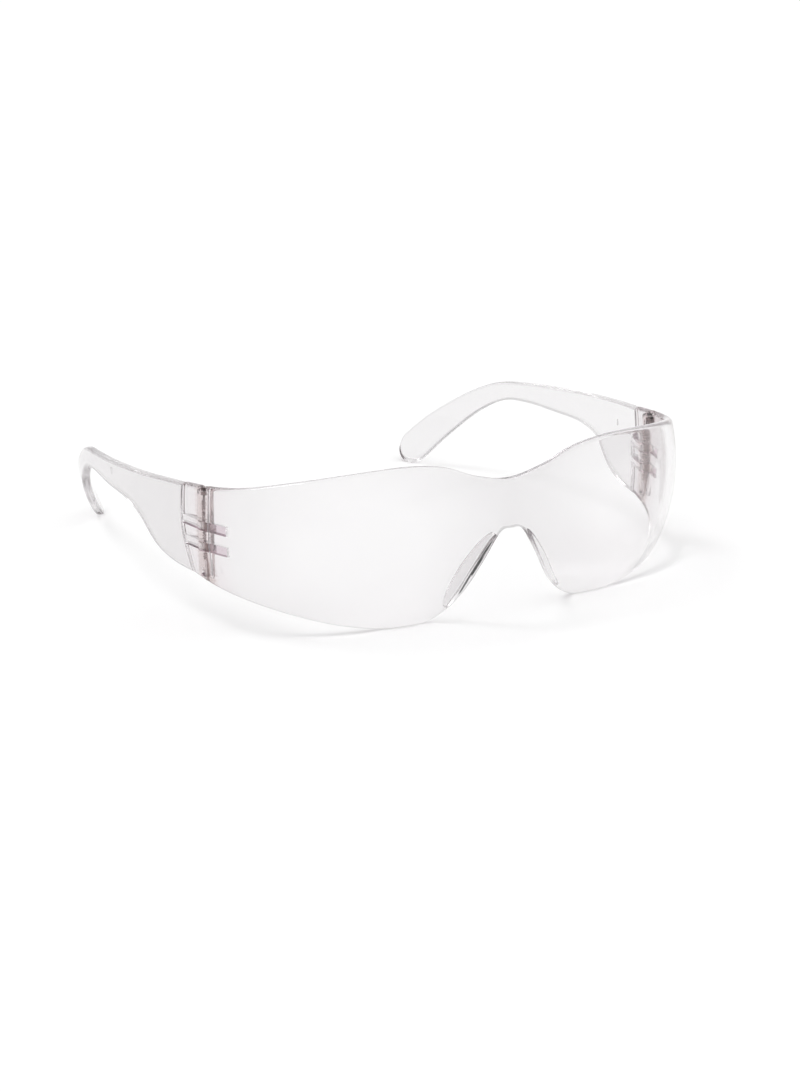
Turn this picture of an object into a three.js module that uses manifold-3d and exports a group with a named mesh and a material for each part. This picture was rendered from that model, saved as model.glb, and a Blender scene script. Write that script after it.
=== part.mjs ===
// Clear wraparound safety glasses: one moulded lens with its nose bridge, nose pads and hinge
// knuckles, two moulded temples and a hinge screw on each side.
// Millimetres. +X is the wearer's left, -Y the front of the lens, +Z up, and z = 0 the table that
// the lens and the two temple tips stand on. The origin is under the middle of the whole.
import * as THREE from "three";
import { mergeVertices } from "three/addons/utils/BufferGeometryUtils.js";
import Module from "manifold-3d";

const wasm = await Module();
wasm.setup();

// Seen from above, the lens is bent along an arc length s that runs from the middle to each side.
const LENS_ARC = 99; // arc length from the middle of the bridge to a rear edge
const WALL = 2.4; // thickness of the lens and of the temples
const BRIDGE_CURVATURE = -0.0105; // the bridge bends forward a little at its two ends
const BRIDGE_HALF = 6; // arc length before the bend tightens
const BRIDGE_TURN = 21.8; // arc length over which it tightens
const WRAP_RADIUS = 45.8; // bend of each half round the face
const END_EASE = 8; // arc length over which the bend dies out
const END_STRAIGHT = 2.4; // straight stretch at the rear edge
const EQUATOR = 27.2; // height of the level at which the lens is fullest
const SAG_RADIUS = 49.8; // bend of the lens from top to bottom
const END_SAG = 0.6; // how much of that bend is left at the rear edges
const SAG_FADE = 40; // arc length over which it is lost
const REAR_SLANT = 2.5; // how far the foot of a rear edge leans forward
const SLANT_TOP = 23; // height from which it leans
const SLANT_FOOT = 11;
const EDGE_BREAK = 0.35; // broken corners of the lens and temple edges

// Upper and lower outline of one half of the lens, as arc length and height.
const LENS_TOP = [
  [0, 36.5], [9.5, 38.4], [19, 42.1], [30.5, 43.6], [45, 42.9], [61, 40.7], [80, 37.3], [99, 35.2],
];
const LENS_FOOT = [
  [0, 23.4], [3.6, 22.5], [8.4, 14.8], [13, 7], [18, 2.2], [24, 0], [36, 0],
  [50, 1.7], [63, 4.2], [78, 7.4], [99, 11.5],
]; // it stands on the table along a level stretch between the two points at 0

const ARCH = 24; // arc length from the middle to the foot of the nose arch

// A nose pad is a flange behind the side of the nose arch. Its edges are rounded by a share of its
// thickness.
const PAD = { from: 4, to: 15.8, edge: 0.2, depth: 3.5, thick: 1.8, splay: 0.25, round: 0.28, root: 1.2 };
const PAD_STEPS = 18;

// Hinge: three knuckles on the lens, two prongs on the temple, and one upright screw.
const PIN_BACK = 8.6; // from the pin to the rear edge of the lens, along the arc
const PIN_INSET = 2.3; // from the outer face to the pin
const KNUCKLE_RADIUS = 2.5;
const KNUCKLE_TOP = 35.2;
const KNUCKLE_FOOT = 12.4;
const SLOTS = [[24.7, 27.2], [19.2, 21.7]]; // heights of the two slots that the prongs turn in
const SLOT_AHEAD = 9.2; // how far a slot runs forward of the pin
const SLOT_SKIN = 0.9; // wall left outside a slot where it runs forward of the knuckles
const PLAY = 0.3; // clearance between the lens and a temple
const WEB_DEPTH = 0.5; // the prongs lie this far under the outer face
const WEB_ROOT = 3; // and run this far back into the temple
const BORE_RADIUS = 1.1;
const HEAD_RADIUS = 1.35;
const HEAD_HEIGHT = 0.95;
const HEAD_CONE = 0.5; // height of the tapered part of the head
const HEAD_SINK = 1.25; // depth of the recess for the screw head
const NECK_RADIUS = 0.6;
const SCREW_FOOT = 16.5;
const THREAD_RADIUS = 1;
const THREAD_TOP = 32;
const THREAD_PITCH = 0.7;
const THREAD_DEPTH = 0.35;
const DRIVER_SLOT = [0.5, 0.5]; // width and depth
const HEAD_DROP = 0.1; // from the top of the knuckle down to the top of the head
const CHAMFER = 0.3; // at the head and at the foot of the screw

// Temple outline as pairs of one point on the upper and one on the lower edge, each a distance
// behind the lens and a height. The tip goes on from the last pair as a half round.
const TEMPLE_TOP = [
  [0, 35], [7, 34.5], [15, 33.8], [23, 33.1], [31.5, 32.4], [43, 31.3], [55, 30.1],
  [67.7, 28], [80, 22.3], [91.3, 14.6], [97.7, 7.95],
];
const TEMPLE_FOOT = [
  [0, 11.4], [6.6, 12.1], [13.8, 14.8], [21.5, 20.7], [30.7, 23.5], [43.5, 24], [55.5, 24.3],
  [64.8, 23.2], [74.5, 18], [83.5, 9.7], [89.1, 2.35],
];
const TEMPLE_SPREAD = 0.14; // the temple starts outwards at this slope
const TEMPLE_BOW = 0.00303; // and bends back in by this much per square millimetre
const TIP_LEAN_TOP = 22; // below this height the tip leans inwards
const TIP_LEAN = 5.8; // by this much at z = 0
const LEAN_FADE = 30; // distance behind the lens over which the lean comes in
const LAST_TIP_ANGLE = 1.4; // radians of the half round that are drawn
const SLANT_FADE = 12; // distance behind the lens over which its front edge's slant dies out

const RANGE = (n) => Array.from({ length: n + 1 }, (_, i) => i / n);
const ease = (x) => THREE.MathUtils.smoothstep(x, 0, 1);

// ---- plan of the lens ----

const PLAN_STEP = 0.25;

function curvatureAt(s) {
  const tight = ease((s - BRIDGE_HALF) / BRIDGE_TURN);
  const bent = BRIDGE_CURVATURE + (1 / WRAP_RADIUS - BRIDGE_CURVATURE) * tight;
  return bent * (1 - ease((s - (LENS_ARC - END_STRAIGHT - END_EASE)) / END_EASE));
}

const PLAN = [{ x: 0, y: 0, angle: 0 }];
for (let s = PLAN_STEP / 2; s < LENS_ARC + 4; s += PLAN_STEP) {
  const last = PLAN[PLAN.length - 1];
  const turn = curvatureAt(s) * PLAN_STEP;
  const middle = last.angle + turn / 2;
  PLAN.push({
    x: last.x + Math.cos(middle) * PLAN_STEP,
    y: last.y + Math.sin(middle) * PLAN_STEP,
    angle: last.angle + turn,
  });
}

function planAt(s) {
  const at = Math.min(s / PLAN_STEP, PLAN.length - 1.001);
  const [a, b] = [PLAN[Math.floor(at)], PLAN[Math.floor(at) + 1]];
  const part = at - Math.floor(at);
  const mix = (key) => THREE.MathUtils.lerp(a[key], b[key], part);
  return { x: mix("x"), y: mix("y"), angle: mix("angle") };
}

const sagAt = (z) => SAG_RADIUS - Math.sqrt(SAG_RADIUS ** 2 - (z - EQUATOR) ** 2);

// A point of the lens: arc length (negative on the wearer's right), height and depth under the
// outer face. The depth is level, so that a level edge is a flat face.
function lensPoint(s, z, depth) {
  const plan = planAt(Math.abs(s));
  const kept = 1 - (1 - END_SAG) * ease((Math.abs(s) - (LENS_ARC - SAG_FADE)) / SAG_FADE);
  const inwards = sagAt(z) * kept + depth;
  const x = plan.x - Math.sin(plan.angle) * inwards;
  return new THREE.Vector3(s < 0 ? -x : x, plan.y + Math.cos(plan.angle) * inwards, z);
}

// How far the rear edge stands forward at a height.
function slantAt(z) {
  const share = (SLANT_TOP - z) / (SLANT_TOP - SLANT_FOOT);
  return REAR_SLANT * THREE.MathUtils.clamp(share, 0, 1);
}

// ---- outlines ----

// Height of a mirrored outline at an arc length.
function outline(points) {
  const mirrored = [[-points[1][0], points[1][1]], ...points];
  const curve = new THREE.SplineCurve(mirrored.map(([s, z]) => new THREE.Vector2(s, z)));
  return (s) => {
    let [low, high] = [0, 1];
    for (let i = 0; i < 30; i++) {
      const half = (low + high) / 2;
      if (curve.getPoint(half).x < Math.abs(s)) low = half;
      else high = half;
    }
    return curve.getPoint(low).y;
  };
}

const topAt = outline(LENS_TOP);
const footCurve = outline(LENS_FOOT);
const footAt = (s) => Math.max(0, footCurve(s));

// ---- solids ----

function solidOf(geometry) {
  const bare = new THREE.BufferGeometry();
  bare.setAttribute("position", geometry.getAttribute("position"));
  bare.setIndex(geometry.index);
  const merged = mergeVertices(bare, 1e-4);
  const vertProperties = new Float32Array(merged.attributes.position.array);
  const triVerts = new Uint32Array(merged.index.array);
  const made = new wasm.Manifold(new wasm.Mesh({ numProp: 3, vertProperties, triVerts }));
  if (made.volume() > 0) return made;
  triVerts.reverse();
  return new wasm.Manifold(new wasm.Mesh({ numProp: 3, vertProperties, triVerts }));
}

// A closed solid through a row of rings. A ring goes along one face and back along the other, so
// that each end is closed by strips across the thickness.
function loft(rings) {
  const n = rings[0].length;
  const index = [];
  for (let i = 0; i + 1 < rings.length; i++)
    for (let j = 0; j < n; j++) {
      const [a, b] = [i * n + j, i * n + ((j + 1) % n)];
      index.push(a, b, b + n, a, b + n, a + n);
    }
  const last = (rings.length - 1) * n;
  for (let j = 0; j < n / 2 - 1; j++) {
    const [a, b, c, d] = [j, j + 1, n - 2 - j, n - 1 - j];
    index.push(a, c, b, a, d, c);
    index.push(last + a, last + b, last + c, last + a, last + c, last + d);
  }
  const geometry = new THREE.BufferGeometry().setFromPoints(rings.flat());
  geometry.setIndex(index);
  return solidOf(geometry);
}

// A ring round a plate at one station: `at(z share, depth)` gives the points.
function plateRing(at, rows, height) {
  const cut = EDGE_BREAK / height;
  const along = RANGE(rows).map((share) => cut + share * (1 - 2 * cut));
  return [
    at(0, EDGE_BREAK),
    ...along.map((share) => at(share, 0)),
    at(1, EDGE_BREAK),
    at(1, WALL - EDGE_BREAK),
    ...along.reverse().map((share) => at(share, WALL)),
    at(0, WALL - EDGE_BREAK),
  ];
}

function extruded(shape, low, high, segments) {
  const geometry = new THREE.ExtrudeGeometry(shape, {
    depth: high - low,
    bevelEnabled: false,
    curveSegments: segments,
  });
  return solidOf(geometry.translate(0, 0, low));
}

function disc(radius, low, high, at) {
  const shape = new THREE.Shape().absarc(0, 0, radius, 0, 2 * Math.PI);
  return extruded(shape, low, high, 14).translate([at.x, at.y, 0]);
}

// ---- lens ----

function lensWall() {
  const [fine, wide] = [RANGE(24), RANGE(38).slice(1)];
  const half = [...fine.map((u) => u * ARCH), ...wide.map((u) => ARCH + u * (LENS_ARC - ARCH))];
  const stations = [...half.slice(1).reverse().map((s) => -s), ...half];
  const rings = stations.map((s) => {
    const [foot, top] = [footAt(s), topAt(s)];
    const at = (share, depth) => {
      const z = THREE.MathUtils.lerp(foot, top, share);
      return lensPoint(s * (1 - slantAt(z) / LENS_ARC), z, depth);
    };
    return plateRing(at, 8, top - foot);
  });
  return loft(rings);
}

// One nose pad: it grows out of the back of the lens along the arch and dies out at both ends.
function nosePad(side) {
  const rings = RANGE(PAD_STEPS).map((u) => {
    const s = THREE.MathUtils.lerp(PAD.from, PAD.to, u);
    const [ahead, behind] = [footAt(s + 0.2), footAt(s - 0.2)];
    const length = Math.hypot(0.4, ahead - behind);
    const across = [(behind - ahead) / length, 0.4 / length];
    const swell = Math.sin(Math.PI * (0.02 + 0.96 * u)) ** 0.6;
    const reach = WALL + PAD.edge + PAD.depth * swell;
    const at = (offset, depth) => {
      const e = offset + PAD.splay * Math.max(0, depth - WALL);
      return lensPoint(side * (s + across[0] * e), footAt(s) + across[1] * e, depth);
    };
    const thick = PAD.thick * (0.4 + 0.6 * swell);
    const [near, far] = [PAD.edge, PAD.edge + thick];
    const round = PAD.round * thick;
    return [
      at(near, PAD.root),
      at(near, (PAD.root + reach) / 2),
      at(near, reach - round),
      at(near + round, reach),
      at(far - round, reach),
      at(far, reach - round),
      at(far, (PAD.root + reach) / 2),
      at(far, PAD.root),
    ];
  });
  return loft(rings);
}

// The pin and the directions round it on one side: back along the lens, and in from its face.
function hingeFrame(side) {
  const plan = planAt(LENS_ARC - PIN_BACK);
  const back = new THREE.Vector2(side * Math.cos(plan.angle), Math.sin(plan.angle));
  const inwards = new THREE.Vector2(-side * Math.sin(plan.angle), Math.cos(plan.angle));
  const pin = new THREE.Vector2(side * plan.x, plan.y).addScaledVector(inwards, PIN_INSET);
  const at = (b, i) => pin.clone().addScaledVector(back, b).addScaledVector(inwards, i);
  return { pin, at };
}

function plate(corners, low, high) {
  const points = corners.map((p) => new THREE.Vector2(p.x, p.y));
  if (THREE.ShapeUtils.isClockWise(points)) points.reverse();
  return extruded(new THREE.Shape(points), low, high, 1);
}

// A round boss at the pin with a web out to the wall. The slots divide it into three knuckles.
function knuckleColumn({ pin, at }) {
  const r = KNUCKLE_RADIUS;
  const web = [[-r, 0], [r, 0], [r, 1 - PIN_INSET], [-r - 1.6, 1 - PIN_INSET]];
  const corners = web.map(([back, inwards]) => at(back, inwards));
  return disc(r, KNUCKLE_FOOT, KNUCKLE_TOP, pin).add(plate(corners, KNUCKLE_FOOT, KNUCKLE_TOP));
}

// A slot is open through the wall round the pin, and goes on forward as a pocket behind the skin.
function slotCutter(side, [low, high]) {
  const { at } = hingeFrame(side);
  const [front, rear] = [-KNUCKLE_RADIUS - PLAY, PIN_BACK + 3];
  const [outer, inner] = [-PIN_INSET - 3, KNUCKLE_RADIUS + 1];
  const open = plate([at(front, outer), at(rear, outer), at(rear, inner), at(front, inner)], low, high);
  const middle = (low + high) / 2;
  const arcs = RANGE(4).map((u) => LENS_ARC - PIN_BACK - SLOT_AHEAD * (1 - u));
  const behindSkin = arcs.map((s) => lensPoint(side * s, middle, SLOT_SKIN));
  const corners = [lensPoint(side * arcs[0], middle, WALL + 2), ...behindSkin, at(0, inner)];
  return open.add(plate(corners, low, high));
}

function lensSolid() {
  let lens = lensWall();
  for (const side of [-1, 1]) {
    const hinge = hingeFrame(side);
    lens = lens.add(nosePad(side)).add(knuckleColumn(hinge));
    for (const slot of SLOTS) lens = lens.subtract(slotCutter(side, slot));
    lens = lens.subtract(disc(BORE_RADIUS, KNUCKLE_FOOT - 3, KNUCKLE_TOP + 3, hinge.pin));
    lens = lens.subtract(disc(HEAD_RADIUS + PLAY, KNUCKLE_TOP - HEAD_SINK, KNUCKLE_TOP + 3, hinge.pin));
  }
  return lens;
}

// ---- temples ----

// A point of a temple: distance behind the lens, height and depth under the outer face.
function templePoint(side, t, z, depth) {
  const end = planAt(LENS_ARC);
  const slope = TEMPLE_SPREAD - 2 * TEMPLE_BOW * t;
  const low = Math.max(0, TIP_LEAN_TOP - z) / TIP_LEAN_TOP;
  const mixed = THREE.MathUtils.lerp(sagAt(z) * END_SAG, TIP_LEAN * low * low, ease(t / LEAN_FADE));
  const inwards = depth / Math.hypot(1, slope);
  const x = end.x + TEMPLE_SPREAD * t - TEMPLE_BOW * t * t - mixed - inwards;
  return new THREE.Vector3(side * x, end.y + t + slope * inwards, z);
}

function templePlate(side) {
  const curve = (points) => new THREE.SplineCurve(points.map(([t, z]) => new THREE.Vector2(t, z)));
  const [top, foot] = [curve(TEMPLE_TOP), curve(TEMPLE_FOOT)];
  const pairs = RANGE(60).map((u) => [top.getPoint(u), foot.getPoint(u)]);
  const [a, b] = pairs[pairs.length - 1];
  const middle = a.clone().add(b).divideScalar(2);
  const half = a.clone().sub(middle);
  const outwards = new THREE.Vector2(half.y, -half.x);
  for (const u of RANGE(9).slice(1)) {
    const angle = u * LAST_TIP_ANGLE;
    const centre = middle.clone().addScaledVector(outwards, Math.sin(angle));
    const reach = half.clone().multiplyScalar(Math.cos(angle));
    pairs.push([centre.clone().add(reach), centre.clone().sub(reach)]);
  }
  const rings = pairs.map(([upper, lower]) => {
    const at = (share, depth) => {
      const p = lower.clone().lerp(upper, share);
      const slant = slantAt(p.y) * (1 - ease(p.x / SLANT_FADE));
      return templePoint(side, p.x - slant + PLAY, p.y, depth);
    };
    return plateRing(at, 6, upper.distanceTo(lower));
  });
  return loft(rings);
}

// A prong: an eye round the pin and a web under the outer face that runs back into the temple.
function prong(side, [low, high]) {
  const { pin, at } = hingeFrame(side);
  const middle = (low + high) / 2;
  const r = KNUCKLE_RADIUS;
  const arcs = RANGE(3).map((u) => LENS_ARC - PIN_BACK * (1 - 0.95 * u));
  const outer = arcs.map((s) => lensPoint(side * s, middle, WEB_DEPTH));
  const root = [WEB_DEPTH, WALL - WEB_DEPTH].map((depth) => templePoint(side, WEB_ROOT, middle, depth));
  const web = [...outer, ...root, at(r, r), at(0, r)];
  const [bottom, top] = [low + PLAY, high - PLAY];
  return disc(r, bottom, top, pin).add(plate(web, bottom, top));
}

function templeSolid(side) {
  const hinge = hingeFrame(side);
  let temple = templePlate(side);
  for (const slot of SLOTS) temple = temple.add(prong(side, slot));
  return temple.subtract(disc(BORE_RADIUS, KNUCKLE_FOOT, KNUCKLE_TOP, hinge.pin));
}

// ---- screws ----

function screwSolid(side) {
  const { pin } = hingeFrame(side);
  const headTop = KNUCKLE_TOP - HEAD_DROP;
  const neck = headTop - HEAD_HEIGHT;
  const core = THREAD_RADIUS - THREAD_DEPTH;
  const profile = [[0, SCREW_FOOT], [core - CHAMFER, SCREW_FOOT], [core, SCREW_FOOT + CHAMFER]];
  for (let z = SCREW_FOOT + CHAMFER; z < THREAD_TOP; z += THREAD_PITCH)
    profile.push([THREAD_RADIUS, z + THREAD_PITCH / 2], [core, z + THREAD_PITCH]);
  profile.push([NECK_RADIUS, THREAD_TOP + 1.5 * THREAD_PITCH], [NECK_RADIUS, neck]);
  profile.push([HEAD_RADIUS, neck + HEAD_CONE]);
  profile.push([HEAD_RADIUS, headTop - CHAMFER], [HEAD_RADIUS - CHAMFER, headTop], [0, headTop]);
  const turned = new THREE.LatheGeometry(profile.map(([r, z]) => new THREE.Vector2(r, z)), 20);
  const screw = solidOf(turned.rotateX(Math.PI / 2)).translate([pin.x, pin.y, 0]);
  const [wide, deep] = DRIVER_SLOT;
  const driver = new THREE.BoxGeometry(wide, 4 * HEAD_RADIUS, 2 * deep);
  return screw.subtract(solidOf(driver.translate(pin.x, pin.y, headTop)));
}

// ---- assembly ----

// The lens front lies at y = 0 above, and is moved so that the origin is under the middle.
const solids = {
  lens: lensSolid(),
  temple_left: templeSolid(1),
  temple_right: templeSolid(-1),
  hinge_screw_left: screwSolid(1),
  hinge_screw_right: screwSolid(-1),
};
const boxes = Object.values(solids).map((solid) => solid.boundingBox());
const front = Math.min(...boxes.map((box) => box.min[1]));
const rear = Math.max(...boxes.map((box) => box.max[1]));
const floor = Math.min(...boxes.map((box) => box.min[2]));

const clear = new THREE.MeshStandardMaterial({ color: 0xe8eaea, roughness: 0.1, opacity: 0.35 });
clear.transparent = true;
const steel = new THREE.MeshStandardMaterial({ color: 0x8c857e, metalness: 0.9, roughness: 0.35 });

function meshOf(name, solid) {
  const made = solid.translate([0, -(front + rear) / 2, -floor]).getMesh();
  const geometry = new THREE.BufferGeometry();
  geometry.setAttribute("position", new THREE.BufferAttribute(made.vertProperties, 3));
  geometry.setIndex(new THREE.BufferAttribute(made.triVerts, 1));
  geometry.computeVertexNormals();
  const mesh = new THREE.Mesh(geometry, name.startsWith("hinge_screw") ? steel : clear);
  mesh.name = name;
  return mesh;
}

const group = new THREE.Group();
for (const [name, solid] of Object.entries(solids)) group.add(meshOf(name, solid));
export default group;
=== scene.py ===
"""Looks of the clear safety glasses: a smooth moulded lens, two temples and two hinge screws, which
stand for the faceted CAD nodes. Shapes are worked out in millimetres and made in metres."""

import math

import bmesh
import bpy
from mathutils import Matrix, Vector


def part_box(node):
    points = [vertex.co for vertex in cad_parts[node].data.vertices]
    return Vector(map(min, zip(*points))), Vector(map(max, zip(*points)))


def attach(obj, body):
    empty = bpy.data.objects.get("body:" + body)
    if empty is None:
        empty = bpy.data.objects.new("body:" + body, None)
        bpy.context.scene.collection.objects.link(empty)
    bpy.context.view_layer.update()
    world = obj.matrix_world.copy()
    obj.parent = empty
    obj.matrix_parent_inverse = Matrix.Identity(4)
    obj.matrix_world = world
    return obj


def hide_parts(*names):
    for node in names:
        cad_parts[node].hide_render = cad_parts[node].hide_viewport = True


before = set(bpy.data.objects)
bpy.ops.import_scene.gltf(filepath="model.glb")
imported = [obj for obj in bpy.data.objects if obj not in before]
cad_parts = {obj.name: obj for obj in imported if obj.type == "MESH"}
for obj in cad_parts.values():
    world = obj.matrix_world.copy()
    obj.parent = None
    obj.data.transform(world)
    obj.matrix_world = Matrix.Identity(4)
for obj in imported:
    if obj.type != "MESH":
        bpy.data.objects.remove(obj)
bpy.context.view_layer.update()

MM = 0.001
SIDES = {1: "left", -1: "right"}  # the wearer's left is at +x

# ---------------------------------------------------------------- dimensions, as in the CAD source
# Seen from above, the lens is bent along an arc length that runs from the middle to each side.
LENS_ARC = 99.0  # arc length from the middle of the bridge to a rear edge
WALL = 2.4  # thickness of the lens and of the temples
BRIDGE_CURVATURE = -0.0105  # the bridge bends forward a little at its two ends
BRIDGE_HALF = 6.0  # arc length before the bend tightens
BRIDGE_TURN = 21.8  # arc length over which it tightens
WRAP_RADIUS = 45.8  # bend of each half round the face
END_EASE = 8.0  # arc length over which the bend dies out
END_STRAIGHT = 2.4  # straight stretch at the rear edge
EQUATOR = 27.2  # height of the level at which the lens is fullest
SAG_RADIUS = 49.8  # bend of the lens from top to bottom
END_SAG = 0.6  # how much of that bend is left at the rear edges
SAG_FADE = 40.0  # arc length over which it is lost
REAR_SLANT = 2.5  # how far the foot of a rear edge leans forward
SLANT_TOP = 23.0  # height from which it leans
SLANT_FOOT = 11.0

# Upper and lower outline of one half of the lens, as arc length and height.
LENS_TOP = [
    (0, 36.5), (9.5, 38.4), (19, 42.1), (30.5, 43.6), (45, 42.9), (61, 40.7), (80, 37.3), (99, 35.2),
]
LENS_FOOT = [
    (0, 23.4), (3.6, 22.5), (8.4, 14.8), (13, 7), (18, 2.2), (24, 0), (36, 0),
    (50, 1.7), (63, 4.2), (78, 7.4), (99, 11.5),
]

# A nose pad is a flange behind the side of the nose arch.
PAD = {"from": 4.0, "to": 15.8, "depth": 3.5, "thick": 1.8, "splay": 0.25, "root": 1.2, "edge": 0.2}

# Hinge: three knuckles on the lens, two prongs on the temple, and one upright screw.
PIN_BACK = 8.6  # from the pin to the rear edge of the lens, along the arc
PIN_INSET = 2.3  # from the outer face to the pin
KNUCKLE_RADIUS = 2.5
KNUCKLE_TOP = 35.2
KNUCKLE_FOOT = 12.4
SLOTS = [(24.7, 27.2), (19.2, 21.7)]  # heights of the two slots that the prongs turn in
SLOT_AHEAD = 9.2  # how far a slot runs forward of the pin
SLOT_SKIN = 0.9  # wall left outside a slot where it runs forward of the knuckles
PLAY = 0.3  # clearance between the lens and a temple
WEB_DEPTH = 0.5  # the prongs lie this far under the outer face
WEB_ROOT = 3.0  # and run this far back into the temple
BORE_RADIUS = 1.1
HEAD_RADIUS = 1.35
HEAD_HEIGHT = 0.95
HEAD_SINK = 1.25  # depth of the recess for the screw head
HEAD_DROP = 0.1  # from the top of the knuckle down to the top of the head
NECK_RADIUS = 0.6
THREAD_RADIUS = 1.0
SCREW_FOOT = 16.5
THREAD_TOP = 32.0
THREAD_PITCH = 0.7
THREAD_DEPTH = 0.35
DRIVER_SLOT = 0.5  # width and depth

# Upper and lower outline of a temple, as distance behind the lens and height.
TEMPLE_TOP = [
    (0, 35), (7, 34.5), (15, 33.8), (23, 33.1), (31.5, 32.4), (43, 31.3), (55, 30.1),
    (67.7, 28), (80, 22.3), (91.3, 14.6), (97.7, 7.95),
]
TEMPLE_FOOT = [
    (0, 11.4), (6.6, 12.1), (13.8, 14.8), (21.5, 20.7), (30.7, 23.5), (43.5, 24), (55.5, 24.3),
    (64.8, 23.2), (74.5, 18), (83.5, 9.7), (89.1, 2.35),
]
TEMPLE_SPREAD = 0.14  # the temple starts outwards at this slope
TEMPLE_BOW = 0.00303  # and bends back in by this much per square millimetre
TIP_LEAN_TOP = 22.0  # below this height the tip leans inwards
TIP_LEAN = 5.8  # by this much at z = 0
LEAN_FADE = 30.0  # distance behind the lens over which the lean comes in
SLANT_FADE = 12.0  # distance behind the lens over which its front edge's slant dies out

# ---------------------------------------------------------------- finer than the CAD
SHARP_ANGLE = 32.0  # degrees between two faces, above which their edge stays sharp
WELD = 1e-6  # points of a mesh that are closer than this, in metres, become one
EDGE_ROUND = 0.85  # radius of the moulded edges of the lens and temples
SEAM_ROUND = 0.25  # rounding where the lens and a temple meet
EDGE_STEPS = 6
ROUNDING = [1 - math.cos(math.pi / 2 * k / EDGE_STEPS) for k in range(EDGE_STEPS + 1)]
STEEPEST = 2.6  # bound on how far the foot's rounding is stretched up a steep side of the nose arch

BISECTIONS = 30  # to find the place of an arc length on an outline
CLOSE_STATIONS = 48  # the lens has close stations at the bridge and nose, and wider ones beyond
CLOSE_STEP = 0.5
WIDE_STATIONS = 90
LENS_ROWS = 40

PAD_ROUND = 0.33  # rounding of a nose pad's edges, as a share of its thickness
PAD_STEPS = 48
NEARBY = 0.2  # how far to each side the arch's slope is measured for the pad
PAD_END = 0.02  # where on a half sine a pad's swell starts and ends
PAD_FULLNESS = 0.6  # power of that sine
PAD_THIN = 0.4  # thickness of its two ends, as a share

ROD_SIDES = 64
ROD_STEPS = 5  # along the rounding of a rod's end
KNUCKLE_ROUND = 0.25
KNUCKLE_WEB = {"sink": 1.0, "flare": 1.6, "inset": 0.05}  # joins the knuckles to the lens wall
THREADED_BORE = 0.55  # the screw's thread has cut itself into the lens knuckles
OVERRUN = 3.0  # how far a cutter runs past what it cuts
ARC_STEPS = 12  # along a pocket or the front of a prong
PRONG_ROUND = 0.2
PRONG_INSET = 0.03  # of a prong's web within its eye, at the top and bottom
PRONG_REACH = 0.95  # how near it comes to the rear edge, as a share of the way from the pin

TEMPLE_SPAN = 95.0  # length of a temple's outline, about
TEMPLE_GAP = 0.003  # share of it between the seam's rounding and the first station
TEMPLE_STATIONS = 130
TEMPLE_ROWS = 18
TIP_STATIONS = 24
LAST_TIP_ANGLE = 1.52  # radians of each side of the half round that are drawn
TIP_SIDE = Vector((1, -1))  # towards the half round, from the middle of the tip
THINNEST_SHARE = 0.45  # of a low section's height that its edge rounding may take

GATE_BACK = {1: 11.0, -1: 42.0}  # gate marks on the temples, this far behind the lens
GATE_HEIGHT = 28.3
GATE_HALF = (0.28, 0.9)  # half the width and half the height of a mark
GATE_LEVELS = (-0.4, 0.25)  # it goes from inside the wall to just proud of it
GATE_SIDES = 16

SCREW_SIDES = 48
ROWS_PER_TURN = 8
THREAD_RUN_IN = 0.5
THREAD_FULLNESS = 1.5  # power that rounds the thread's crest
FOOT_CHAMFER = 0.2
HEAD_BREAK = 0.2  # radius at the top of the head
HEAD_BREAK_STEPS = 6
NECK_FROM = 1.5 * THREAD_PITCH  # how far above the thread's top the plain neck begins
NECK_END = 0.1  # how far under the head the neck starts to widen
# Under its rim the head tapers: height as a share of the head's, and radius.
HEAD_TAPER = [(0.0, NECK_RADIUS + 0.05), (0.55, HEAD_RADIUS - 0.06), (0.6, HEAD_RADIUS)]
HEAD_MIDDLE = 0.3  # radius of the flat that closes the top of the head


def ease(x):
    x = min(1.0, max(0.0, x))
    return x * x * (3 - 2 * x)


def mix(a, b, share):
    return a + (b - a) * share


# ---------------------------------------------------------------- plan of the lens
PLAN_STEP = 0.25
PLAN_SPARE = 4.0  # how far the plan runs on past the end of the lens


def curvature_at(s):
    """How sharply the plan bends: forward a little first, then back round the face."""
    tight = ease((s - BRIDGE_HALF) / BRIDGE_TURN)
    bent = mix(BRIDGE_CURVATURE, 1 / WRAP_RADIUS, tight)
    return bent * (1 - ease((s - (LENS_ARC - END_STRAIGHT - END_EASE)) / END_EASE))


def plan_table():
    """Position and direction of the plan line at every step of arc."""
    rows = [(0.0, 0.0, 0.0)]
    s = PLAN_STEP / 2
    while s < LENS_ARC + PLAN_SPARE:
        x, y, angle = rows[-1]
        turn = curvature_at(s) * PLAN_STEP
        middle = angle + turn / 2
        rows.append((x + math.cos(middle) * PLAN_STEP, y + math.sin(middle) * PLAN_STEP, angle + turn))
        s += PLAN_STEP
    return rows


PLAN = plan_table()
PLAN_FRONT = min(y for x, y, angle in PLAN)
CAD_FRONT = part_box("lens")[0][1] / MM  # where the CAD puts the front of the lens


def plan_at(s):
    """Position and direction at an arc length, from the rows of the table on both sides of it."""
    at = s / PLAN_STEP
    low = min(int(at), len(PLAN) - 2)
    return [mix(a, b, at - low) for a, b in zip(PLAN[low], PLAN[low + 1])]


def placed(x, y, z):
    """From the plan's own origin at the bridge to the frame, still in millimetres."""
    return Vector((x, y - PLAN_FRONT + CAD_FRONT, z))


def sag_at(z):
    """How far the upright section has curved back from its foremost point."""
    return SAG_RADIUS - math.sqrt(SAG_RADIUS**2 - (z - EQUATOR) ** 2)


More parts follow.
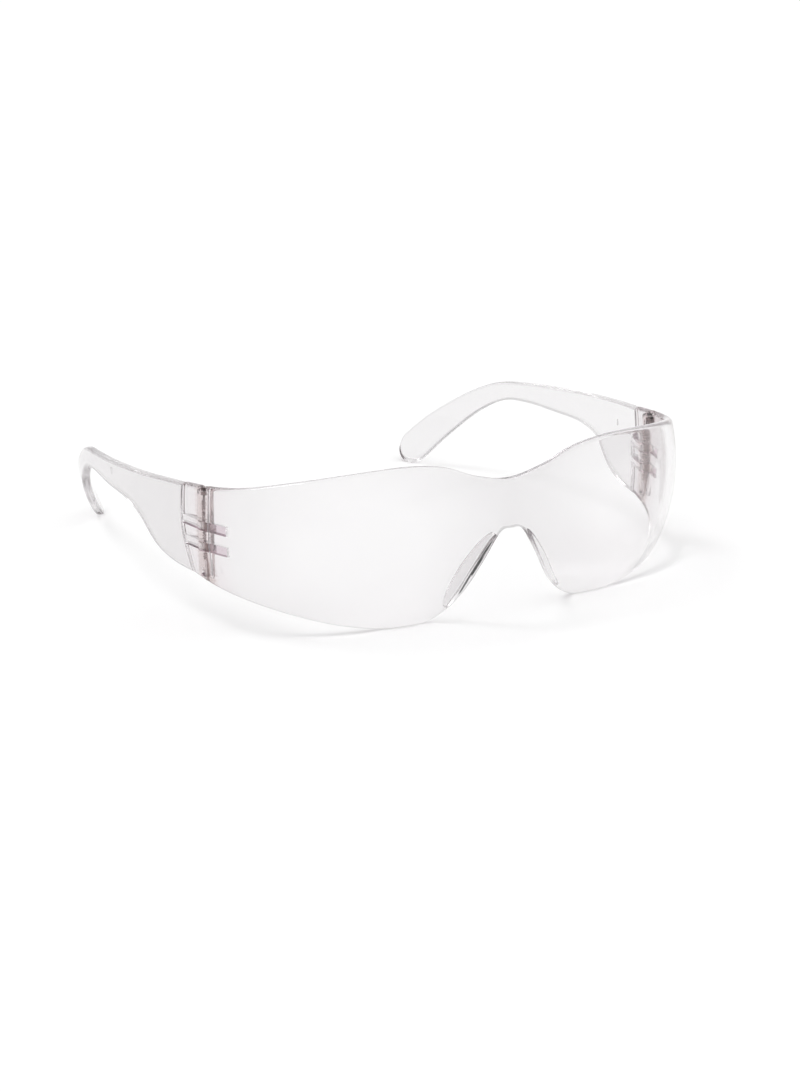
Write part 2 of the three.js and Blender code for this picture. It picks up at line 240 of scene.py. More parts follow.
def lens_point(s, z, depth):
    """A point of the lens wall: arc length, height, and depth from its outer face."""
    x, y, angle = plan_at(abs(s))
    kept = 1 - (1 - END_SAG) * ease((abs(s) - (LENS_ARC - SAG_FADE)) / SAG_FADE)
    inwards = sag_at(z) * kept + depth
    x -= math.sin(angle) * inwards
    return placed(-x if s < 0 else x, y + math.cos(angle) * inwards, z)


def slant_at(z):
    """How far forward the seam between lens and temple leans at a height."""
    return REAR_SLANT * min(1.0, max(0.0, (SLANT_TOP - z) / (SLANT_TOP - SLANT_FOOT)))


# ---------------------------------------------------------------- outlines
def spline(points):
    """A uniform Catmull-Rom curve through the points, as a function of a share from 0 to 1."""

    def at(share):
        place = share * (len(points) - 1)
        i = min(int(place), len(points) - 2)
        w = place - i
        p = [points[min(max(k, 0), len(points) - 1)] for k in (i - 1, i, i + 1, i + 2)]
        out = []
        for a, b, c, d in zip(*p):
            v0, v1 = (c - a) / 2, (d - b) / 2
            out.append((2 * b - 2 * c + v0 + v1) * w**3 + (-3 * b + 3 * c - 2 * v0 - v1) * w**2 + v0 * w + b)
        return out

    return at


def outline(points):
    """Height of a mirrored outline as a function of the arc length."""
    first = points[1]
    curve = spline([(-first[0], first[1]), *points])

    def height(s):
        low, high = 0.0, 1.0
        for _ in range(BISECTIONS):
            half = (low + high) / 2
            if curve(half)[0] < abs(s):
                low = half
            else:
                high = half
        return curve(low)[1]

    return height


top_at = outline(LENS_TOP)
foot_curve = outline(LENS_FOOT)


def foot_at(s):
    return max(0.0, foot_curve(s))


# ---------------------------------------------------------------- mesh helpers
def mesh_object(name, verts, faces):
    """A closed mesh from points in millimetres, with its faces turned outwards."""
    mesh = bpy.data.meshes.new(name)
    mesh.from_pydata([tuple(v * MM) for v in verts], [], faces)
    made = bmesh.new()
    made.from_mesh(mesh)
    bmesh.ops.remove_doubles(made, verts=made.verts, dist=WELD)
    bmesh.ops.recalc_face_normals(made, faces=made.faces)
    if made.calc_volume(signed=True) < 0:
        bmesh.ops.reverse_faces(made, faces=made.faces)
    made.to_mesh(mesh)
    made.free()
    piece = bpy.data.objects.new(name, mesh)
    bpy.context.scene.collection.objects.link(piece)
    return piece


def thinning(distance, radius):
    """How far a face lies under its own level at a distance from the rounded edge."""
    short = radius - min(radius, max(0.0, distance))
    return radius - math.sqrt(max(0.0, radius**2 - short**2))


def plate_mesh(name, rows, cols, place):
    """A closed plate: place(i, j, face) gives the points of its outer (0) and inner (1) face."""
    verts = [place(i, j, face) for face in (0, 1) for i in range(rows) for j in range(cols)]

    def at(face, i, j):
        return (face * rows + i) * cols + j

    faces = []
    for face in (0, 1):
        for i in range(rows - 1):
            for j in range(cols - 1):
                corners = [(i, j), (i + 1, j), (i + 1, j + 1), (i, j + 1)]
                quad = [at(face, a, b) for a, b in corners]
                faces.append(quad if face else quad[::-1])
    rim = [(i, 0) for i in range(rows - 1)] + [(rows - 1, j) for j in range(cols - 1)]
    rim += [(i, cols - 1) for i in range(rows - 1, 0, -1)] + [(0, j) for j in range(cols - 1, 0, -1)]
    for (a, b), (c, d) in zip(rim, rim[1:] + rim[:1]):
        faces.append([at(0, a, b), at(0, c, d), at(1, c, d), at(1, a, b)])
    return mesh_object(name, verts, faces)


def side_faces(rings):
    """The faces between rings that have the same number of points, which are numbered ring by ring."""
    n = len(rings[0])
    faces = []
    for start in range(0, (len(rings) - 1) * n, n):
        for k in range(n):
            a, b = start + k, start + (k + 1) % n
            faces.append([a, b, b + n, a + n])
    return faces


def ring_solid(name, rings):
    """A solid through rings of points, closed by a flat face over the first and the last one."""
    n = len(rings[0])
    verts = [p for ring in rings for p in ring]
    ends = [list(range(n))[::-1], list(range(len(verts) - n, len(verts)))]
    return mesh_object(name, verts, side_faces(rings) + ends)


def prism(name, corners, low, high):
    """A straight solid over a closed outline of (x, y) points."""
    return ring_solid(name, [[Vector((x, y, z)) for x, y in corners] for z in (low, high)])


def turns(sides):
    """Evenly spaced angles round a circle."""
    return [2 * math.pi * k / sides for k in range(sides)]


def ring_at(centre, radii, height):
    """A level ring of evenly spaced points about a centre, given the radius of each."""
    points = []
    for a, radius in zip(turns(len(radii)), radii):
        x, y = centre[0] + radius * math.cos(a), centre[1] + radius * math.sin(a)
        points.append(Vector((x, y, height)))
    return points


def lathe(name, profile, centre):
    """A round solid over a profile of (radius, height) points."""
    return ring_solid(name, [ring_at(centre, [radius] * ROD_SIDES, z) for radius, z in profile])


def rod(name, radius, low, high, centre, rounding=0.0):
    """An upright cylinder, whose two ends may be rounded."""
    if not rounding:
        return lathe(name, [(radius, low), (radius, high)], centre)
    arc = [math.pi / 2 * k / ROD_STEPS for k in range(ROD_STEPS + 1)]
    foot = [(radius - rounding * (1 - math.sin(a)), low + rounding * (1 - math.cos(a))) for a in arc]
    head = [(r, high - (z - low)) for r, z in reversed(foot)]
    return lathe(name, foot + head, centre)


def combine(piece, other, operation):
    """Joins or cuts the piece with another one, which is used up; materials come along."""
    cut = piece.modifiers.new("cut", "BOOLEAN")
    cut.operation = operation
    cut.solver = "EXACT"
    cut.material_mode = "TRANSFER"
    cut.object = other
    bpy.context.view_layer.update()
    graph = bpy.context.evaluated_depsgraph_get()
    made = bpy.data.meshes.new_from_object(piece.evaluated_get(graph))
    piece.modifiers.clear()
    old = piece.data
    piece.data = made
    bpy.data.meshes.remove(old)
    bpy.data.objects.remove(other)


def shade(piece):
    piece.data.shade_smooth()
    piece.data.set_sharp_from_angle(angle=math.radians(SHARP_ANGLE))


# ---------------------------------------------------------------- lens
def lens_stations():
    """Arc lengths from one rear edge to the other."""
    close_end, wide_end = CLOSE_STATIONS * CLOSE_STEP, LENS_ARC - SEAM_ROUND
    close = [k * CLOSE_STEP for k in range(CLOSE_STATIONS)]
    wide = [mix(close_end, wide_end, k / WIDE_STATIONS) for k in range(WIDE_STATIONS + 1)]
    end = [LENS_ARC - SEAM_ROUND * share for share in ROUNDING[:-1]]
    half = [*close, *wide, *end[::-1]]
    return [-s for s in half[:0:-1]] + half


def steepness(height_at, s):
    """Length along an outline of the lens per millimetre of arc."""
    reach = 0.1
    slope = (height_at(abs(s) + reach) - height_at(abs(s) - reach)) / (2 * reach)
    return math.hypot(1, slope)


def lens_heights(s):
    """Heights up the wall at a station, each with its distance from the edge while that is rounded."""
    foot, top = foot_at(s), top_at(s)
    foot_round = EDGE_ROUND * min(STEEPEST, steepness(foot_at, s))
    top_round = EDGE_ROUND * steepness(top_at, s)
    lower = [(foot + foot_round * share, EDGE_ROUND * share) for share in ROUNDING]
    upper = [(top - top_round * share, EDGE_ROUND * share) for share in reversed(ROUNDING)]
    low, high = lower[-1][0], upper[0][0]
    middle = [(mix(low, high, k / LENS_ROWS), EDGE_ROUND) for k in range(1, LENS_ROWS)]
    return lower + middle + upper


def lens_wall():
    """The bent wall of the lens, with all its edges rounded."""
    stations = lens_stations()
    grid = [lens_heights(s) for s in stations]

    def place(i, j, face):
        s = stations[i]
        z, edge = grid[i][j]
        gone = max(thinning(edge, EDGE_ROUND), thinning(LENS_ARC - abs(s), SEAM_ROUND))
        depth = WALL - gone if face else gone
        return lens_point(s * (1 - slant_at(z) / LENS_ARC), z, depth)

    return plate_mesh("lens_clear", len(stations), len(grid[0]), place)


def pad_profile(swell):
    """Half round the cross-section of a pad: distance from the arch's edge, and depth."""
    thick = PAD["thick"] * mix(PAD_THIN, 1, swell)
    reach = WALL + PAD["edge"] + PAD["depth"] * swell
    rounding = PAD_ROUND * thick
    near, far = PAD["edge"], PAD["edge"] + thick
    profile = [(near, mix(PAD["root"], reach - rounding, k / 4)) for k in range(4)]
    for k in range(EDGE_STEPS + 1):
        a = math.pi / 2 * k / EDGE_STEPS
        profile.append((near + rounding * (1 - math.cos(a)), reach - rounding * (1 - math.sin(a))))
    return profile + [(near + far - e, d) for e, d in reversed(profile)]


def nose_pad(side):
    """A flange behind one side of the nose arch, rounded along its free edge and at both ends."""
    rings = []
    for i in range(PAD_STEPS + 1):
        u = i / PAD_STEPS
        s = mix(PAD["from"], PAD["to"], u)
        fall = foot_at(s - NEARBY) - foot_at(s + NEARBY)
        length = math.hypot(2 * NEARBY, fall)
        across = (fall / length, 2 * NEARBY / length)
        swell = math.sin(math.pi * mix(PAD_END, 1 - PAD_END, u)) ** PAD_FULLNESS
        ring = []
        for e, depth in pad_profile(swell):
            e += PAD["splay"] * max(0.0, depth - WALL)
            ring.append(lens_point(side * (s + across[0] * e), foot_at(s) + across[1] * e, depth))
        rings.append(ring)
    faces = side_faces(rings)
    n = len(rings[0])
    last = PAD_STEPS * n
    for j in range(n // 2 - 1):
        quad = [j, j + 1, n - 2 - j, n - 1 - j]
        faces += [quad[::-1], [last + k for k in quad]]
    return mesh_object("nose_pad", [p for ring in rings for p in ring], faces)


def hinge_frame(side):
    """The pin's plan position, and a function for points so far back and inwards from it."""
    x, y, angle = plan_at(LENS_ARC - PIN_BACK)
    back = Vector((side * math.cos(angle), math.sin(angle)))
    inwards = Vector((-side * math.sin(angle), math.cos(angle)))
    face = placed(side * x, y, 0)
    pin = Vector((face.x, face.y)) + inwards * PIN_INSET
    return pin, lambda b, i: pin + back * b + inwards * i


def pin_at(side):
    return hinge_frame(side)[0]


def knuckle_column(side):
    """The column that the slots part into three knuckles, with a web that joins it to the wall."""
    pin, at = hinge_frame(side)
    r = KNUCKLE_RADIUS
    column = rod("knuckles", r, KNUCKLE_FOOT, KNUCKLE_TOP, pin, KNUCKLE_ROUND)
    sink, inset = KNUCKLE_WEB["sink"] - PIN_INSET, KNUCKLE_WEB["inset"]
    corners = [at(-r, 0), at(r, 0), at(r, sink), at(-r - KNUCKLE_WEB["flare"], sink)]
    combine(column, prism("web", corners, KNUCKLE_FOOT + inset, KNUCKLE_TOP - inset), "UNION")
    return column


def slot_corners(side, middle):
    """A slot is open through the wall round the pin, and goes on forward as a pocket behind a skin."""
    pin, at = hinge_frame(side)
    front, rear = -KNUCKLE_RADIUS - PLAY, PIN_BACK + OVERRUN
    outer, inner = -PIN_INSET - OVERRUN, KNUCKLE_RADIUS + 1
    opening = [at(front, outer), at(rear, outer), at(rear, inner), at(front, inner)]
    front_arc = LENS_ARC - PIN_BACK - SLOT_AHEAD
    arcs = [front_arc + SLOT_AHEAD * k / ARC_STEPS for k in range(ARC_STEPS + 1)]
    pocket = [lens_point(side * front_arc, middle, WALL + 2)]
    pocket += [lens_point(side * s, middle, SLOT_SKIN) for s in arcs]
    return opening, [(p.x, p.y) for p in pocket] + [tuple(at(0, inner))]


def mark_slots(mesh, marker):
    """Turns the material that the slot cutters left into a face attribute."""
    marks = mesh.attributes.new(SLOT_FACES, "FLOAT", "FACE")
    marker_index = mesh.materials.find(marker.name)
    for face, mark in zip(mesh.polygons, marks.data):
        mark.value = 1.0 if face.material_index == marker_index else 0.0
        face.material_index = 0
    while len(mesh.materials) > 1:
        mesh.materials.pop(index=len(mesh.materials) - 1)


def make_lens():
    """The wall with its pads and knuckles, cut by the slots, the screw bores and their recesses."""
    lens = lens_wall()
    lens.data.materials.append(polycarbonate("lens_polycarbonate", *LENS_TINTS_WITH_REFLECTION, LENS_ROUGHNESS))
    marker = bpy.data.materials.new("slot_marker")
    for side in (-1, 1):
        pin = pin_at(side)
        combine(lens, nose_pad(side), "UNION")
        combine(lens, knuckle_column(side), "UNION")
        for low, high in SLOTS:
            for corners in slot_corners(side, (low + high) / 2):
                slot = prism("slot", corners, low, high)
                slot.data.materials.append(marker)
                combine(lens, slot, "DIFFERENCE")
        bore = rod("bore", THREADED_BORE, KNUCKLE_FOOT - OVERRUN, KNUCKLE_TOP + OVERRUN, pin)
        combine(lens, bore, "DIFFERENCE")
        recess_foot = KNUCKLE_TOP - HEAD_SINK
        recess = rod("recess", HEAD_RADIUS + PLAY, recess_foot, KNUCKLE_TOP + OVERRUN, pin)
        combine(lens, recess, "DIFFERENCE")
    mark_slots(lens.data, marker)
    return lens


# ---------------------------------------------------------------- temples
def temple_point(side, t, z, depth):
    """A point of a temple: way back from the lens, height, and depth from its outer face."""
    x, y, angle = plan_at(LENS_ARC)
    slope = TEMPLE_SPREAD - 2 * TEMPLE_BOW * t
    low = max(0.0, TIP_LEAN_TOP - z) / TIP_LEAN_TOP
    mixed = mix(sag_at(z) * END_SAG, TIP_LEAN * low * low, ease(t / LEAN_FADE))
    inwards = depth / math.hypot(1, slope)
    x += TEMPLE_SPREAD * t - TEMPLE_BOW * t * t - mixed - inwards
    return placed(side * x, y + t + slope * inwards, z)


def temple_sections():
    """Pairs of points on the lower and upper outline, and the centre and radius of the half-round tip."""
    top, foot = spline(TEMPLE_TOP), spline(TEMPLE_FOOT)
    shares = [SEAM_ROUND / TEMPLE_SPAN * share for share in ROUNDING[:-1]]
    first = shares[-1] + TEMPLE_GAP
    shares += [mix(first, 1, k / TEMPLE_STATIONS) for k in range(TEMPLE_STATIONS + 1)]
    pairs = [(Vector(foot(u)), Vector(top(u))) for u in shares]
    low, high = pairs[-1]
    middle = (high + low) / 2
    half = high - middle
    outwards = Vector((half.y, -half.x))
    for k in range(1, TIP_STATIONS + 1):
        angle = LAST_TIP_ANGLE * k / TIP_STATIONS
        centre = middle + outwards * math.sin(angle)
        pairs.append((centre - half * math.cos(angle), centre + half * math.cos(angle)))
    return pairs, middle, half.length


def temple_row(foot, top):
    """Points up the temple at a station, each with its distance from the nearer edge."""
    height = (top - foot).length
    rounding = min(EDGE_ROUND, height * THINNEST_SHARE)
    near = [rounding * share / height for share in ROUNDING]
    inner = [mix(near[-1], 1 - near[-1], k / TEMPLE_ROWS) for k in range(1, TEMPLE_ROWS)]
    shares = near + inner + [1 - share for share in reversed(near)]
    return [(foot.lerp(top, share), min(share, 1 - share) * height) for share in shares]


def temple_plate(side):
    """The bowed plate of a temple, with all its edges rounded."""
    pairs, middle, radius = temple_sections()
    tip_from = len(pairs) - 1 - TIP_STATIONS
    grid = []
    for i, (foot, top) in enumerate(pairs):
        row = []
        for p, edge in temple_row(foot, top):
            off = p - middle
            if i >= tip_from and off.dot(TIP_SIDE) > 0:
                edge = radius - off.length
            row.append((p, max(thinning(edge, EDGE_ROUND), thinning(p.x, SEAM_ROUND))))
        grid.append(row)

    def place(i, j, face):
        p, gone = grid[i][j]
        slant = slant_at(p.y) * (1 - ease(p.x / SLANT_FADE))
        return temple_point(side, p.x - slant + PLAY, p.y, WALL - gone if face else gone)

    return plate_mesh(f"temple_{SIDES[side]}_clear", len(grid), len(grid[0]), place)


def prong(side, low, high):
    """An eye round the screw, with a web that runs back inside the slot and into the temple."""
    pin, at = hinge_frame(side)
    middle = (low + high) / 2
    r = KNUCKLE_RADIUS
    bottom, top = low + PLAY, high - PLAY
    eye = rod("eye", r, bottom, top, pin, PRONG_ROUND)
    ahead = [PIN_BACK * (1 - PRONG_REACH * k / ARC_STEPS) for k in range(ARC_STEPS + 1)]
    outer = [lens_point(side * (LENS_ARC - back), middle, WEB_DEPTH) for back in ahead]
    root = [temple_point(side, WEB_ROOT, middle, depth) for depth in (WEB_DEPTH, WALL - WEB_DEPTH)]
    corners = [(p.x, p.y) for p in outer + root] + [tuple(at(r, r)), tuple(at(0, r))]
    combine(eye, prism("web", corners, bottom + PRONG_INSET, top - PRONG_INSET), "UNION")
    return eye


def gate_mark(side):
    """A small ridge on the inner face, where the moulding gate was trimmed off."""
    wide, tall = GATE_HALF
    rings = []
    for level in GATE_LEVELS:
        ring = []
        for a in turns(GATE_SIDES):
            back, height = GATE_BACK[side] + wide * math.cos(a), GATE_HEIGHT + tall * math.sin(a)
            ring.append(temple_point(side, back, height, WALL + level))
        rings.append(ring)
    return ring_solid("gate", rings)


def make_temple(side):
    """The plate with its gate mark and prongs, bored for the screw."""
    temple = temple_plate(side)
    # The right temple, nearer the camera, gets a greyer colour: painted shade.
    painted_light_tint = TEMPLE_SHADED_TINTS[side]
    temple.data.materials.append(polycarbonate("temple_polycarbonate", painted_light_tint, painted_light_tint, TEMPLE_ROUGHNESS))
    combine(temple, gate_mark(side), "UNION")
    for low, high in SLOTS:
        combine(temple, prong(side, low, high), "UNION")
    bore = rod("bore", BORE_RADIUS, KNUCKLE_FOOT, KNUCKLE_TOP, pin_at(side))
    combine(temple, bore, "DIFFERENCE")
    return temple


# ---------------------------------------------------------------- screws
def thread_radius(angle, height):
    """The thread runs in at the foot of the screw and out into the neck."""
    run_in = ease((height - SCREW_FOOT) / THREAD_RUN_IN)
    run_out = 1 - ease((height - THREAD_TOP) / THREAD_PITCH)
    turn = (height / THREAD_PITCH - angle / (2 * math.pi)) % 1
    cut = THREAD_DEPTH * (1 - (1 - abs(2 * turn - 1)) ** THREAD_FULLNESS) * run_out
    return mix(NECK_RADIUS, THREAD_RADIUS, run_in * run_out) - cut * run_in


def head_profile():
    """Radii and heights from the neck to the middle of the head's top."""
    top = KNUCKLE_TOP - HEAD_DROP
    under = top - HEAD_HEIGHT
    profile = [(NECK_RADIUS, THREAD_TOP + NECK_FROM), (NECK_RADIUS, under - NECK_END)]
    profile += [(radius, under + HEAD_HEIGHT * share) for share, radius in HEAD_TAPER]
    for k in range(HEAD_BREAK_STEPS + 1):
        tilt = math.pi / 2 * k / HEAD_BREAK_STEPS
        radius = HEAD_RADIUS - HEAD_BREAK * (1 - math.cos(tilt))
        profile.append((radius, top - HEAD_BREAK * (1 - math.sin(tilt))))
    return [*profile, (HEAD_MIDDLE, top)]


def screw_rings(pin):
    """Rings up the screw: its chamfered foot, the thread, the neck and the head."""
    step = THREAD_PITCH / ROWS_PER_TURN
    threaded = int((THREAD_TOP + THREAD_PITCH - SCREW_FOOT) / step)
    rings = [ring_at(pin, [NECK_RADIUS - FOOT_CHAMFER] * SCREW_SIDES, SCREW_FOOT)]
    for row in range(1, threaded + 1):
        height = SCREW_FOOT + step * row
        rings.append(ring_at(pin, [thread_radius(a, height) for a in turns(SCREW_SIDES)], height))
    rings += [ring_at(pin, [radius] * SCREW_SIDES, height) for radius, height in head_profile()]
    return rings


def make_screw(side, name, metal):
    """A slotted screw with a tapered head and a helical thread."""
    pin = pin_at(side)
    screw = ring_solid(name, screw_rings(pin))
    screw.data.materials.append(metal)
    left, right = pin.x - DRIVER_SLOT / 2, pin.x + DRIVER_SLOT / 2
    front, rear = pin.y - OVERRUN, pin.y + OVERRUN
    corners = [(left, front), (right, front), (right, rear), (left, rear)]
    foot = KNUCKLE_TOP - HEAD_DROP - DRIVER_SLOT
    combine(screw, prism("driver_slot", corners, foot, KNUCKLE_TOP + 1), "DIFFERENCE")
    return screw


# ---------------------------------------------------------------- materials, in metres
WHITE = (1.0, 1.0, 1.0)
POLYCARBONATE_IOR = 1.586
TONER = (0.25, 0.18, 0.22)  # cast of the plastic in its depth
TONER_DENSITY = 7.0
LENS_TINTS_WITH_REFLECTION = ((0.935, 0.928, 0.932), (0.79, 0.779, 0.785))  # before the eyes, and at the rim; the lighter eyes are a painted reflection
TEMPLE_SHADED_TINTS = {1: (0.88, 0.872, 0.876), -1: (0.787, 0.772, 0.778)}  # the right temple, nearer the camera, is painted greyer, as shade
EYE_CENTRE = (0.040, 0.062, 0.022)  # centre of the painted reflection before the left eye, with y turned forward
EYE_REACH = (0.014, 0.052)  # distances from there between which the painted reflection gives way to the greyer rim
BLOTCHES = 0.02  # how far soft clouds shift that distance
CLOUD_SCALE = 45.0

PIN_PLACE = (0.0680, -0.0337, 0)  # plan position of the left hinge pin
PIN_REACH = (0.001, 0.011)  # distances from it between which its surroundings fade out
RIB_SCALE = 230.0
RIB_DEPTH = 0.08  # how far the painted ribs, standing for the thread seen through the knuckles, shift that fade
# Painted shade round a hinge pin, standing in for the screw seen dark through the knuckles: share of the way
# out, and colour.
HINGE_PAINTED_SHADE = [
    (0.05, (0.70, 0.61, 0.59)),
    (0.15, (0.88, 0.80, 0.80)),
    (0.2, (0.985, 0.95, 0.96)),
    (1.0, WHITE),
]
SLOT_FACES = "slot_faces"  # face attribute that marks the walls of the slots
# Painted shade in the walls of the slots, standing in for the darker light refracted through them.
SLOT_PAINTED_SHADE = (0.60, 0.47, 0.54)

LENS_ROUGHNESS = 0.02
TEMPLE_ROUGHNESS = 0.06
SCUFF_ROUGHNESS = 0.07  # added in the fine scuffs
SCUFF_STRETCH = (90, 900, 500)
SCUFF_TURN = (0.3, 0.5, 0.2)
SCUFF_FADE = (0.55, 0.8)
BORE_ROUGHNESS = 0.35
BORE_FADE = (0.02, 0.06)  # shares of the way out from the pin
FLOW_SCALE = 35.0
FLOW_BUMP = {"Strength": 0.06, "Distance": 0.0006}

MOTTLE_SCALE = 1800.0
STEEL = [(0.35, (0.58, 0.52, 0.52)), (0.7, (0.92, 0.88, 0.88))]
STEEL_ROUGHNESS = [(0.3, 0.45), (0.75, 0.65)]
HEAD_DARK = 0.0341  # height above which the screws are blackened
HEAD_FADE = 0.0004
HEAD_SHADE = 0.16
TURNING_SCALE = 1500.0
TURNING_BUMP = {"Strength": 0.15, "Distance": 0.00002}


def feed(tree, socket, value):
    """Links a socket to another one, or sets it to a plain value."""
    if isinstance(value, bpy.types.NodeSocket):
        tree.links.new(value, socket)
    else:
        socket.default_value = value


def make(tree, kind, output, *sources, **settings):
    """One output of a new node: sources feed its first inputs, settings are inputs or properties."""
    node = tree.nodes.new("ShaderNode" + kind)
    for name, value in settings.items():
        if name in node.inputs:
            feed(tree, node.inputs[name], value)
        else:
            setattr(node, name, value)
    for socket, source in zip(node.inputs, sources):
        feed(tree, socket, source)
    return node.outputs[output]


def new_material(name):
    material = bpy.data.materials.new(name)
    material.use_nodes = True
    return material, material.node_tree


def finish_shader(tree, **inputs):
    """Feeds the main shader's inputs; a _ in a name stands for a space."""
    shader = tree.nodes["Principled BSDF"]
    for name, value in inputs.items():
        feed(tree, shader.inputs[name.replace("_", " ")], value)


def ramp(tree, source, stops):
    """The source turned into a colour, or a grey, by (place, value) stops."""
    node = tree.nodes.new("ShaderNodeValToRGB")
    elements = node.color_ramp.elements
    while len(elements) < len(stops):
        elements.new(0.5)
    for element, (place, value) in zip(elements, stops):
        element.position = place
        element.color = (value, value, value, 1) if isinstance(value, float) else (*value, 1)
    tree.links.new(source, node.inputs["Fac"])
    return node.outputs["Color"]


def multiplied(tree, a, b):
    return make(tree, "VectorMath", "Vector", a, b, operation="MULTIPLY")


def distance(tree, place, centre):
    return make(tree, "VectorMath", "Value", place, centre, operation="DISTANCE")


def scaled_plus(tree, value, factor, plus):
    return make(tree, "Math", "Value", value, factor, plus, operation="MULTIPLY_ADD")


def share_between(tree, value, low, high):
    return make(tree, "MapRange", "Result", value, low, high)


def painted_eye_reflection(tree, place, folded, eyes, rim):
    """A painted reflection, lighter before the eyes and greyer at the rim, with soft clouds between them."""
    clouds = make(tree, "TexNoise", "Fac", place, Scale=CLOUD_SCALE, Detail=3.0)
    away = scaled_plus(tree, clouds, BLOTCHES, distance(tree, folded, EYE_CENTRE))
    low, high = [reach + BLOTCHES / 2 for reach in EYE_REACH]
    return ramp(tree, share_between(tree, away, low, high), [(0.0, eyes), (1.0, rim)])


def pin_share(tree, place, folded):
    """0 at the hinge pins, and 1 well away from them."""
    x = make(tree, "SeparateXYZ", "X", folded)
    y = make(tree, "SeparateXYZ", "Y", place)
    plan = make(tree, "CombineXYZ", "Vector", x, y)
    return share_between(tree, distance(tree, plan, PIN_PLACE), *PIN_REACH)


def painted_hinge_shade(tree, place, from_pin):
    """Painted brownish shade round the screws, ribbed like their thread seen through the knuckles."""
    ribs = make(tree, "TexWave", "Fac", place, Scale=RIB_SCALE, Distortion=1.5, bands_direction="Z")
    return ramp(tree, scaled_plus(tree, ribs, -RIB_DEPTH, from_pin), HINGE_PAINTED_SHADE)


def painted_slot_shade(tree):
    """Painted purple shade in the walls of the slots."""
    marked = make(tree, "Attribute", "Fac", attribute_name=SLOT_FACES)
    return ramp(tree, marked, [(0.0, WHITE), (1.0, SLOT_PAINTED_SHADE)])


def scuffed(tree, place, from_pin, roughness):
    """Fine scuffs, and a rough bore round the screw."""
    stretched = make(tree, "Mapping", "Vector", place, Scale=SCUFF_STRETCH, Rotation=SCUFF_TURN)
    scuffs = make(tree, "TexNoise", "Fac", stretched, Scale=3.0, Detail=6.0, Roughness=0.7)
    steps = zip(SCUFF_FADE, (roughness, roughness + SCUFF_ROUGHNESS))
    skin = ramp(tree, scuffs, list(steps))
    bore = ramp(tree, from_pin, list(zip(BORE_FADE, (BORE_ROUGHNESS, 0.0))))
    return make(tree, "Math", "Value", skin, bore, operation="MAXIMUM")


def polycarbonate(name, eyes, rim, roughness):
    """Clear moulded plastic, painted lighter before the eyes as a reflection and greyer towards the rim,
    with painted shade round the screws and in the slots, faint flow waves and fine scuffs.
    """
    material, tree = new_material(name)
    place = make(tree, "TexCoord", "Object")
    folded = make(tree, "VectorMath", "Vector", place, operation="ABSOLUTE")
    from_pin = pin_share(tree, place, folded)
    # Lighter before the eyes and greyer at the rim: a painted reflection; painted shade round the screws
    # follows.
    painted_light_tint = painted_eye_reflection(tree, place, folded, eyes, rim)
    painted_light_colour = multiplied(tree, painted_light_tint, painted_hinge_shade(tree, place, from_pin))
    waves = make(tree, "TexNoise", "Fac", place, Scale=FLOW_SCALE, Detail=1.0)
    finish_shader(
        tree,
        Transmission_Weight=1.0,
        IOR=POLYCARBONATE_IOR,
        Base_Color=multiplied(tree, painted_light_colour, painted_slot_shade(tree)),
        Roughness=scuffed(tree, place, from_pin, roughness),
        Normal=make(tree, "Bump", "Normal", Height=waves, **FLOW_BUMP),
    )
    core = make(tree, "VolumeAbsorption", "Volume", Color=(*TONER, 1), Density=TONER_DENSITY)
    feed(tree, tree.nodes["Material Output"].inputs["Volume"], core)
    return material


def screw_steel():
    """Steel with fine turning marks, a brownish film and a blackened head."""
    material, tree = new_material("screw_steel_turned")
    place = make(tree, "TexCoord", "Object")
    mottle = make(tree, "TexNoise", "Fac", place, Scale=MOTTLE_SCALE, Detail=4.0)
    height = make(tree, "SeparateXYZ", "Z", place)
    head = ramp(tree, height, [(HEAD_DARK - HEAD_FADE, 1.0), (HEAD_DARK, HEAD_SHADE)])
    bands = make(tree, "TexWave", "Fac", place, Scale=TURNING_SCALE, Distortion=0.6, bands_direction="Z")
    finish_shader(
        tree,
        Metallic=1.0,
        Base_Color=multiplied(tree, ramp(tree, mottle, STEEL), head),
        Roughness=ramp(tree, mottle, STEEL_ROUGHNESS),
        Normal=make(tree, "Bump", "Normal", Height=bands, **TURNING_BUMP),
    )
    return material


# ---------------------------------------------------------------- stage
FLOOR_SIZE = 8.0
FLOOR_COLOUR = (0.95, 0.95, 0.95, 1)
FLOOR_ROUGHNESS = 0.9
WORLD_STRENGTH = 1.065
CAMERA_SIDE = (-0.3, -0.5, 1.0)  # the sky is brighter overhead and behind the camera
SKY = [(0.0, 0.74), (0.55, 1.0)]
DARK_CARD = (-0.66, 0.71, 0.24)  # direction of a black card, which a nose pad mirrors
CARD_RADIUS = 0.46
CARD_SHADE = 0.02
CARD_FADE_FROM = 0.75  # share of its radius up to which it is fully dark
KEY_FROM = (-0.35, 0.65, 1.1)
KEY_ANGLE = 20.0
KEY_STRENGTH = 0.45
EDGE_BOUNCES = 48  # light is piped along the inside of the clear walls
CAMERA_AIM = Vector((-0.0241, -0.0553, 0.0186))
CAMERA_AZIMUTH = -30.02
CAMERA_ELEVATION = 17.23
CAMERA_ROLL = -0.57
CAMERA_DISTANCE = 0.870
CAMERA_LENS = 112.2


def make_floor():
    half = FLOOR_SIZE / 2
    corners = [(-half, -half), (half, -half), (half, half), (-half, half)]
    mesh = bpy.data.meshes.new("floor")
    mesh.from_pydata([(x, y, 0.0) for x, y in corners], [], [[0, 1, 2, 3]])
    floor = bpy.data.objects.new("floor", mesh)
    bpy.context.scene.collection.objects.link(floor)
    material, tree = new_material("pale_floor")
    finish_shader(tree, Base_Color=FLOOR_COLOUR, Roughness=FLOOR_ROUGHNESS)
    mesh.materials.append(material)


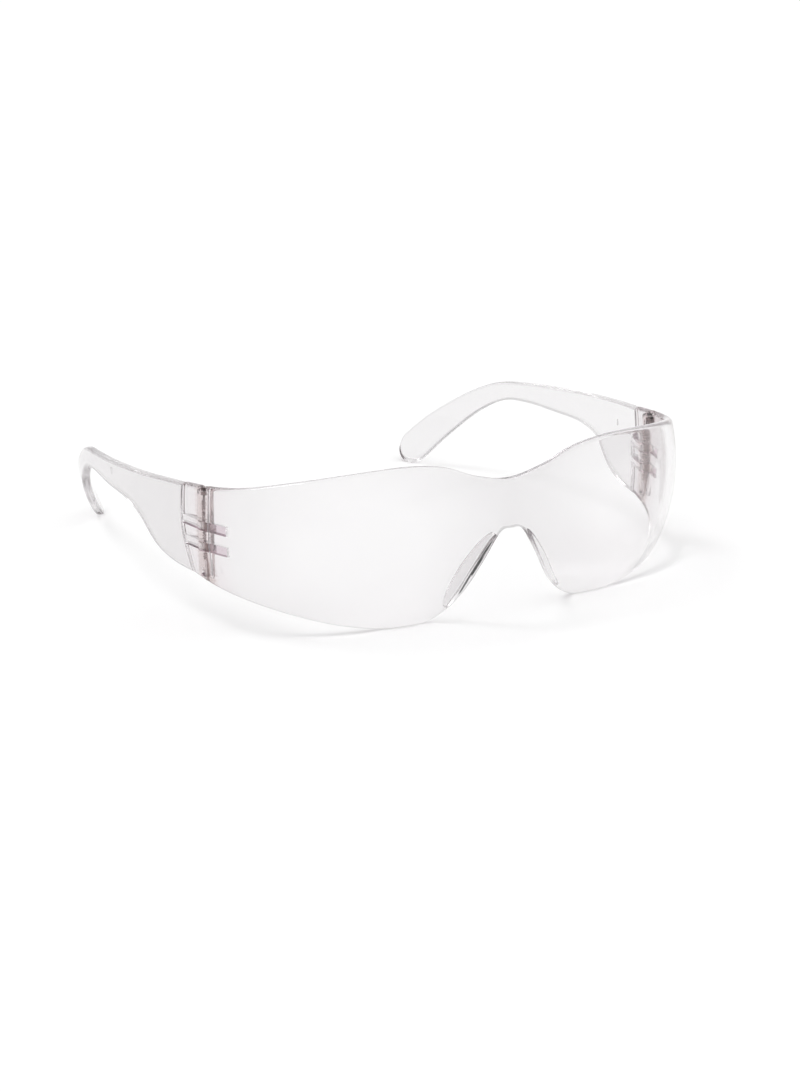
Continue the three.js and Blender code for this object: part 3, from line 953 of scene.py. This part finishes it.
def make_key_light():
    data = bpy.data.lights.new("key", "SUN")
    data.energy = KEY_STRENGTH
    data.angle = math.radians(KEY_ANGLE)
    key = bpy.data.objects.new("key", data)
    key.rotation_euler = (-Vector(KEY_FROM)).to_track_quat("-Z", "Y").to_euler()
    bpy.context.scene.collection.objects.link(key)


def make_world():
    """An even studio sky, brighter overhead and behind the camera, with a black card in it."""
    world = bpy.data.worlds.new("studio")
    world.use_nodes = True
    tree = world.node_tree
    place = make(tree, "TexCoord", "Generated")
    lift = make(tree, "VectorMath", "Value", place, CAMERA_SIDE, operation="DOT_PRODUCT")
    fade = [(CARD_FADE_FROM * CARD_RADIUS, CARD_SHADE), (CARD_RADIUS, 1.0)]
    card = ramp(tree, distance(tree, place, DARK_CARD), fade)
    background = tree.nodes["Background"]
    feed(tree, background.inputs["Color"], multiplied(tree, ramp(tree, lift, SKY), card))
    feed(tree, background.inputs["Strength"], WORLD_STRENGTH)
    bpy.context.scene.world = world


def make_camera():
    data = bpy.data.cameras.new("camera")
    data.lens = CAMERA_LENS
    data.sensor_width = 36
    camera = bpy.data.objects.new("camera", data)
    a, e = math.radians(CAMERA_AZIMUTH), math.radians(CAMERA_ELEVATION)
    back = Vector((math.sin(a) * math.cos(e), -math.cos(a) * math.cos(e), math.sin(e)))
    turn = (-back).to_track_quat("-Z", "Y").to_matrix().to_4x4()
    roll = Matrix.Rotation(math.radians(CAMERA_ROLL), 4, "Z")
    camera.matrix_world = Matrix.Translation(CAMERA_AIM + back * CAMERA_DISTANCE) @ turn @ roll
    bpy.context.scene.collection.objects.link(camera)
    bpy.context.scene.camera = camera


def set_stage():
    make_camera()
    make_floor()
    make_key_light()
    make_world()
    bpy.context.scene.view_settings.view_transform = "Standard"
    cycles = bpy.context.scene.cycles
    cycles.blur_glossy = 0  # blurred glass would swallow a third of the light that falls through it
    cycles.max_bounces = cycles.transmission_bounces = cycles.glossy_bounces = EDGE_BOUNCES


# ---------------------------------------------------------------- build
def finish_piece(piece, body, node):
    """Shades a piece, hangs it under the body it moves with, and hides the CAD node it stands for."""
    shade(piece)
    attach(piece, body)
    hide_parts(node)


set_stage()
finish_piece(make_lens(), "lens_body", "lens")
steel = screw_steel()
for side, name in SIDES.items():
    temple = make_temple(side)
    finish_piece(temple, f"temple_{name}", f"temple_{name}")
    screw = make_screw(side, f"screw_{name}_turned", steel)
    finish_piece(screw, "lens_body", f"hinge_screw_{name}")
